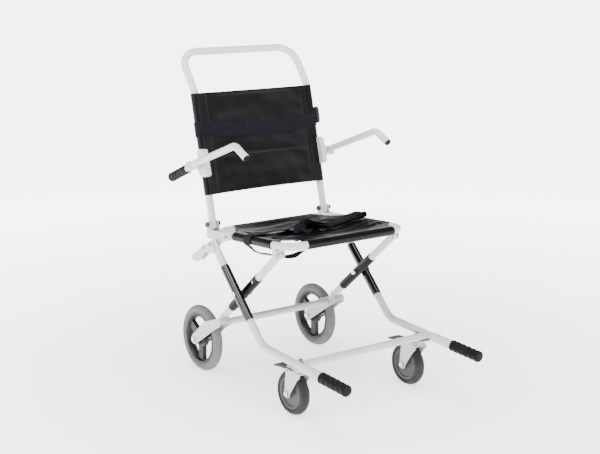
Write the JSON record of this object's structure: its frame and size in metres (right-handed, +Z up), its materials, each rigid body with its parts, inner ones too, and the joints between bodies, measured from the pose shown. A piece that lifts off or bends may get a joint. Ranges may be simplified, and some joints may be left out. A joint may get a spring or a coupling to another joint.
{
  "type": "transport wheelchair",
  "caption": "Folding transport wheelchair: scissor frame of round tube with black slings, lift-up armrests, slide-out front handles and small wheels.",
  "frame": {"origin": "on the floor, under the middle of the chair's bounding box", "axes": "+Z up, the chair faces -Y, +X towards the chair's left side"},
  "size_m": [0.526, 0.8555, 0.956],
  "materials": {
    "white_powder": "smooth white powder coat, semi-gloss",
    "black_sleeve": "gloss black sleeve",
    "grey_sleeve": "satin dark grey sleeve",
    "zinc": "bright zinc plate",
    "white_casting": "white coated pressed steel",
    "dark_knob": "dark grey moulded plastic",
    "black_vinyl": "coated black cloth with a soft sheen",
    "navy_webbing": "woven navy-black webbing",
    "buckle": "black moulded plastic",
    "grip_rubber": "moulded black rubber, ribbed",
    "grey_tyre": "grey solid tyre",
    "black_rim": "black moulded rim",
    "caster_tyre": "dark grey solid tyre",
    "caster_core": "mid grey moulded core",
    "pedal": "dark grey moulded pedal",
    "arm_plug": "black end plug"
  },
  "bodies": {
    "front_frame": {"front_leg_left": "white_powder", "front_leg_right": "white_powder", "front_leg_sleeve_left": "black_sleeve", "front_leg_sleeve_right": "black_sleeve", "front_cross_tube": "white_powder", "caster_brackets": "white_casting", "caster_stems": "zinc", "frame_bolts": "zinc", "latch_brackets": "white_casting"},
    "rear_frame": {"rear_leg_upper_left": "white_powder", "rear_leg_upper_right": "white_powder", "rear_leg_lower_left": "white_powder", "rear_leg_lower_right": "white_powder", "rear_leg_sleeve_left": "grey_sleeve", "rear_leg_sleeve_right": "grey_sleeve", "wheel_fork_left": "white_casting", "wheel_fork_right": "white_casting", "rear_cross_tube": "white_powder", "rear_axles": "zinc"},
    "seat": {"seat_frame": "white_powder", "seat_sling": "black_vinyl", "seat_casting_left": "white_casting", "seat_casting_right": "white_casting", "seat_clevises": "white_casting", "back_hinge_bolts": "dark_knob", "lap_belt": "navy_webbing", "lap_belt_loop": "navy_webbing"},
    "backrest": {"backrest_frame": "white_powder", "backrest_sling": "black_vinyl", "chest_strap": "navy_webbing", "chest_buckle": "buckle", "arm_bracket_left": "white_casting", "arm_bracket_right": "white_casting"},
    "front_handle_left": {"front_handle_tube_left": "white_powder", "front_grip_left": "grip_rubber"},
    "latch_lever_left": {"release_lever_left": "white_casting"},
    "rear_wheel_left": {"rear_tyre_left": "grey_tyre", "rear_rim_left": "black_rim"},
    "caster_left": {"caster_fork_left": "white_casting", "caster_axle_left": "zinc"},
    "caster_wheel_left": {"caster_tyre_left": "caster_tyre", "caster_core_left": "caster_core"},
    "pedal_left": {"brake_pedal_left": "pedal"},
    "armrest_left": {"arm_tube_left": "white_powder", "rear_grip_left": "grip_rubber", "arm_plug_left": "arm_plug"},
    "front_handle_right": {"front_handle_tube_right": "white_powder", "front_grip_right": "grip_rubber"},
    "latch_lever_right": {"release_lever_right": "white_casting"},
    "rear_wheel_right": {"rear_tyre_right": "grey_tyre", "rear_rim_right": "black_rim"},
    "caster_right": {"caster_fork_right": "white_casting", "caster_axle_right": "zinc"},
    "caster_wheel_right": {"caster_tyre_right": "caster_tyre", "caster_core_right": "caster_core"},
    "pedal_right": {"brake_pedal_right": "pedal"},
    "armrest_right": {"arm_tube_right": "white_powder", "rear_grip_right": "grip_rubber", "arm_plug_right": "arm_plug"}
  },
  "joints": [
    {"name": "frame_fold", "type": "hinge", "parent": "front_frame", "child": "rear_frame", "pos_m": [0, 0.0737, 0.2905], "axis": [-1, 0, 0], "range_deg": [0, 60]},
    {"name": "seat_fold", "type": "hinge", "parent": "rear_frame", "child": "seat", "pos_m": [0, -0.0893, 0.43], "axis": [1, 0, 0], "range_deg": [0, 135]},
    {"name": "back_fold", "type": "hinge", "parent": "seat", "child": "backrest", "pos_m": [0, 0.2447, 0.459], "axis": [1, 0, 0], "range_deg": [0, 80]},
    {"name": "arm_lift_left", "type": "hinge", "parent": "backrest", "child": "armrest_left", "pos_m": [0.248, 0.2857, 0.631], "axis": [-1, 0, 0], "range_deg": [0, 83]},
    {"name": "handle_slide_left", "type": "slide", "parent": "front_frame", "child": "front_handle_left", "axis": [0, -0.9987, -0.0501], "range_m": [0, 0.12]},
    {"name": "rear_wheel_spin_left", "type": "hinge", "parent": "rear_frame", "child": "rear_wheel_left", "pos_m": [0.211, 0.2997, 0.1], "axis": [1, 0, 0], "continuous": true},
    {"name": "caster_swivel_left", "type": "hinge", "parent": "front_frame", "child": "caster_left", "pos_m": [0.2055, -0.1953, 0.135], "axis": [0, 0, 1], "continuous": true},
    {"name": "caster_spin_left", "type": "hinge", "parent": "caster_left", "child": "caster_wheel_left", "pos_m": [0.2055, -0.1618, 0.0625], "axis": [1, 0, 0], "continuous": true},
    {"name": "pedal_press_left", "type": "hinge", "parent": "caster_left", "child": "pedal_left", "pos_m": [0.2055, -0.1633, 0.1305], "axis": [-1, 0, 0], "range_deg": [0, 7]},
    {"name": "lever_pull_left", "type": "hinge", "parent": "front_frame", "child": "latch_lever_left", "pos_m": [0.23, 0.2287, 0.396], "axis": [1, 0, 0], "range_deg": [0, 15], "stiffness_Nm_per_rad": 0.3, "springref_deg": -22.92},
    {"name": "arm_lift_right", "type": "hinge", "parent": "backrest", "child": "armrest_right", "pos_m": [-0.248, 0.2857, 0.631], "axis": [-1, 0, 0], "range_deg": [0, 83]},
    {"name": "handle_slide_right", "type": "slide", "parent": "front_frame", "child": "front_handle_right", "axis": [0, -0.9987, -0.0501], "range_m": [0, 0.12]},
    {"name": "rear_wheel_spin_right", "type": "hinge", "parent": "rear_frame", "child": "rear_wheel_right", "pos_m": [-0.211, 0.2997, 0.1], "axis": [1, 0, 0], "continuous": true},
    {"name": "caster_swivel_right", "type": "hinge", "parent": "front_frame", "child": "caster_right", "pos_m": [-0.2055, -0.1953, 0.135], "axis": [0, 0, 1], "continuous": true},
    {"name": "caster_spin_right", "type": "hinge", "parent": "caster_right", "child": "caster_wheel_right", "pos_m": [-0.2055, -0.1618, 0.0625], "axis": [1, 0, 0], "continuous": true},
    {"name": "pedal_press_right", "type": "hinge", "parent": "caster_right", "child": "pedal_right", "pos_m": [-0.2055, -0.1633, 0.1305], "axis": [-1, 0, 0], "range_deg": [0, 7]},
    {"name": "lever_pull_right", "type": "hinge", "parent": "front_frame", "child": "latch_lever_right", "pos_m": [-0.23, 0.2287, 0.396], "axis": [1, 0, 0], "range_deg": [0, 15], "stiffness_Nm_per_rad": 0.3, "springref_deg": -22.92}
  ],
  "couplings": [
    {"joint": "seat_fold", "follows": "frame_fold", "ratio": 2.25}
  ]
}
